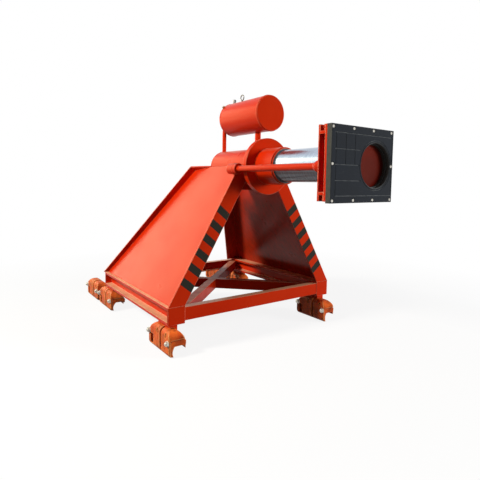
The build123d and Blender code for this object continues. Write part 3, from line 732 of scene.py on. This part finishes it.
# ---------------------------------------------------------------- fittings on the tank
RING_RADIUS, RING_WIRE, RING_TOP_GAP = 0.022, 0.0048, 0.005

# Profiles as shares of the height, and radii
RING_STEM = ((0, 0.0088), (0.72, 0.0088), (0.8, 0.0072))
KNOB = ((0, 0.0158), (0.22, 0.0158), (0.24, 0.0105), (0.4, 0.0105), (0.44, 0.0134), (0.86, 0.014),
        (0.97, 0.0115), (1, 0.007))


def tank_fittings():
    low, high, middle, _ = measures("lifting_eye")
    ring_middle = Vector((middle.x, middle.y, high.z - RING_RADIUS - RING_TOP_GAP))
    loops = []
    for spoke in circle(Vector(), 1, 48, X, Z):
        loops.append(circle(ring_middle + spoke * RING_RADIUS, RING_WIRE, 14, spoke, Y))
    height = ring_middle.z - RING_RADIUS - low.z
    profile = [(share * height, radius) for share, radius in RING_STEM] + [(height + 0.001, 0.0056)]
    stem = lathe(profile, 24, Vector((middle.x, middle.y, low.z)))
    link("lifting_ring", joined([shell(loops, capped=False), stem], 50), DARK_STEEL, "frame", "bolt_steel",
         "lifting_eye")

    low, high, middle, _ = measures("filler_plug")
    profile = [(share * (high.z - low.z), radius) for share, radius in KNOB]
    knob = lathe(profile, 32, Vector((middle.x, middle.y, low.z)))
    link("breather_knob", joined([knob], 50), DARK_STEEL, "frame", "bolt_steel", "filler_plug")


# ---------------------------------------------------------------- wiper ring in the gland
ROD_GAP = 0.0004
COLLAR_RIM = 0.0115


def wiper():
    _, high, middle, collar_radius = measures("gland_collar")
    inner = measures("plunger")[3] + ROD_GAP
    outer = collar_radius - COLLAR_RIM
    section = ((-0.0055, inner), (-0.0055, outer), (-0.0003, outer), (0.0015, outer - 0.0035),
               (0.003, inner + 0.0012), (0.003, inner))
    ring = hoop(Vector((high.x, middle.y, middle.z)), section)
    link("wiper_ring", joined([ring], 40), RUBBER, "frame", "rubber")


rubber_face()
clamp_nuts()
castings()
weld_beads()
tank_fittings()
wiper()

for name, node in nodes.items():
    for material_slot in node.material_slots:
        material_slot.material = NODE_FINISHES.get(name, PAINT)


# ---------------------------------------------------------------- camera, light and floor
def add_camera():
    sight = Vector((-math.sin(CAMERA_YAW) * math.cos(CAMERA_PITCH),
                    math.cos(CAMERA_YAW) * math.cos(CAMERA_PITCH), -math.sin(CAMERA_PITCH)))
    level = sight.cross(Z).normalized()
    upright = level.cross(sight)
    across = level * math.cos(CAMERA_ROLL) + upright * math.sin(CAMERA_ROLL)
    up = upright * math.cos(CAMERA_ROLL) - level * math.sin(CAMERA_ROLL)
    data = bpy.data.cameras.new("camera")
    data.sensor_width = SENSOR_MM
    data.lens = LENS_MM
    data.shift_y = SHIFT_Y
    camera = bpy.data.objects.new("camera", data)
    turn = Matrix((across, up, -sight)).transposed()
    camera.matrix_world = Matrix.Translation(CAMERA_PLACE) @ turn.to_4x4()
    bpy.context.collection.objects.link(camera)
    bpy.context.scene.camera = camera


def add_lamp(name, place, aim, watts, size, colour=(1, 1, 1), mirrored=True, lighting=True):
    """A square soft lamp, which never shows in the picture itself."""
    data = bpy.data.lights.new(name, "AREA")
    data.energy = watts
    data.size = size
    data.color = colour
    lamp = bpy.data.objects.new(name, data)
    lamp.location = place
    lamp.visible_camera = False
    lamp.visible_glossy = mirrored
    lamp.visible_diffuse = lighting
    lamp.rotation_euler = (Vector(aim) - Vector(place)).to_track_quat("-Z", "Y").to_euler()
    bpy.context.collection.objects.link(lamp)


def white_rays(tree):
    """1 for the rays that see the background: from the camera, in gloss and through glass."""
    rays = tree.nodes.new("ShaderNodeLightPath").outputs
    seen = math_node(tree, "MAXIMUM", rays["Is Glossy Ray"], rays["Is Transmission Ray"])
    return math_node(tree, "MAXIMUM", rays["Is Camera Ray"], seen)


def add_world(strength):
    """White where it is seen, and dim as a light."""
    world = bpy.data.worlds.new("studio")
    world.use_nodes = True
    tree = world.node_tree
    back = tree.nodes["Background"]
    back.inputs["Color"].default_value = (1, 1, 1, 1)
    tree.links.new(ramp(tree, white_rays(tree), 0.0, 1.0, strength, 1.0), back.inputs["Strength"])
    bpy.context.scene.world = world


FLOOR_HALF = 30
FLOOR_WHITE, FLOOR_BOUNCE = (0.95, 0.95, 0.95), (0.1, 0.1, 0.1)
SHADOW_REACH, WHITE_REACH = 1.9, 4.2
SHADOW_WHITE = 0.87


def add_floor():
    """A pale floor that takes the shadow near the object, and is the background's white further out."""
    mesh = bpy.data.meshes.new("floor")
    corners = [(-FLOOR_HALF, -FLOOR_HALF, 0), (FLOOR_HALF, -FLOOR_HALF, 0), (FLOOR_HALF, FLOOR_HALF, 0),
               (-FLOOR_HALF, FLOOR_HALF, 0)]
    mesh.from_pydata(corners, [], [(0, 1, 2, 3)])
    floor = bpy.data.objects.new("floor", mesh)
    bpy.context.collection.objects.link(floor)
    material, tree, shader, place, _ = new_material("floor", Roughness=0.9, Specular_IOR_Level=0.1)
    white = add_node(tree, "ShaderNodeEmission", {"Color": (1, 1, 1, 1), "Strength": 1.0})
    camera_ray = tree.nodes.new("ShaderNodeLightPath").outputs["Is Camera Ray"]
    tree.links.new(mix(tree, camera_ray, FLOOR_BOUNCE, FLOOR_WHITE), shader.inputs["Base Color"])
    away = vector_node(tree, "LENGTH", place).outputs["Value"]
    share = times(tree, white_rays(tree), ramp(tree, away, SHADOW_REACH, WHITE_REACH, SHADOW_WHITE, 1.0))
    blend = add_node(tree, "ShaderNodeMixShader", {0: share, 1: shader.outputs[0], 2: white.outputs[0]})
    tree.links.new(blend.outputs[0], tree.nodes["Material Output"].inputs["Surface"])
    mesh.materials.append(material)


add_camera()
add_lamp("key", (-0.2, -6.0, 5.0), (0, 0, 0.8), 590, 1.0, (1.0, 0.95, 0.84))
add_lamp("sky", (-5.4, -2.3, 2.8), (0, 0, 0.8), 250, 4.5, (1.0, 0.9, 0.56), lighting=False)
add_lamp("fill", (7.6, 7.0, 3.2), (0.4, 0, 0.8), 920, 3.5, mirrored=False)
add_world(0.05)
add_floor()

bpy.context.scene.view_settings.view_transform = "Standard"
